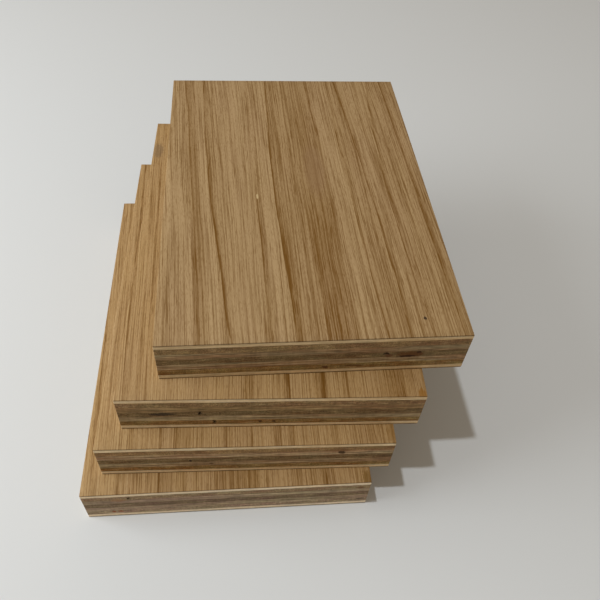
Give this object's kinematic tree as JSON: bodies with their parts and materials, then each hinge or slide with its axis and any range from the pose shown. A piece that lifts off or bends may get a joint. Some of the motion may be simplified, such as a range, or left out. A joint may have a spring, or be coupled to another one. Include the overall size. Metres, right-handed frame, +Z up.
{
  "type": "stack of plywood sheets",
  "caption": "Stack of small oak-faced plywood sheets, each slid sideways and back on the one below, with the cross-laminated plies on show along the sawn edges.",
  "frame": {"origin": "centre of the lowest sheet's underside", "axes": "+X to the right across the face grain of the lowest sheet, +Y to the back along it, +Z up out of the stack"},
  "size_m": [0.1315, 0.1758, 0.072],
  "materials": {
    "oak_veneer": "satin",
    "crossband": "matte",
    "core_lengthwise": "matte",
    "core_crosswise": "matte"
  },
  "bodies": {
    "root": {"sheet_1_oak_back": "oak_veneer", "sheet_1_lower_crossband": "crossband", "sheet_1_core_1": "core_lengthwise", "sheet_1_core_2": "core_crosswise", "sheet_1_core_3": "core_lengthwise", "sheet_1_core_4": "core_crosswise", "sheet_1_core_5": "core_lengthwise", "sheet_1_upper_crossband": "crossband", "sheet_1_oak_face": "oak_veneer", "sheet_2_oak_back": "oak_veneer", "sheet_2_lower_crossband": "crossband", "sheet_2_core_1": "core_lengthwise", "sheet_2_core_2": "core_crosswise", "sheet_2_core_3": "core_lengthwise", "sheet_2_core_4": "core_crosswise", "sheet_2_core_5": "core_lengthwise", "sheet_2_upper_crossband": "crossband", "sheet_2_oak_face": "oak_veneer", "sheet_3_oak_back": "oak_veneer", "sheet_3_lower_crossband": "crossband", "sheet_3_core_1": "core_lengthwise", "sheet_3_core_2": "core_crosswise", "sheet_3_core_3": "core_lengthwise", "sheet_3_core_4": "core_crosswise", "sheet_3_core_5": "core_lengthwise", "sheet_3_upper_crossband": "crossband", "sheet_3_oak_face": "oak_veneer", "sheet_4_oak_back": "oak_veneer", "sheet_4_lower_crossband": "crossband", "sheet_4_core_1": "core_lengthwise", "sheet_4_core_2": "core_crosswise", "sheet_4_core_3": "core_lengthwise", "sheet_4_core_4": "core_crosswise", "sheet_4_core_5": "core_lengthwise", "sheet_4_upper_crossband": "crossband", "sheet_4_oak_face": "oak_veneer"}
  },
  "joints": []
}
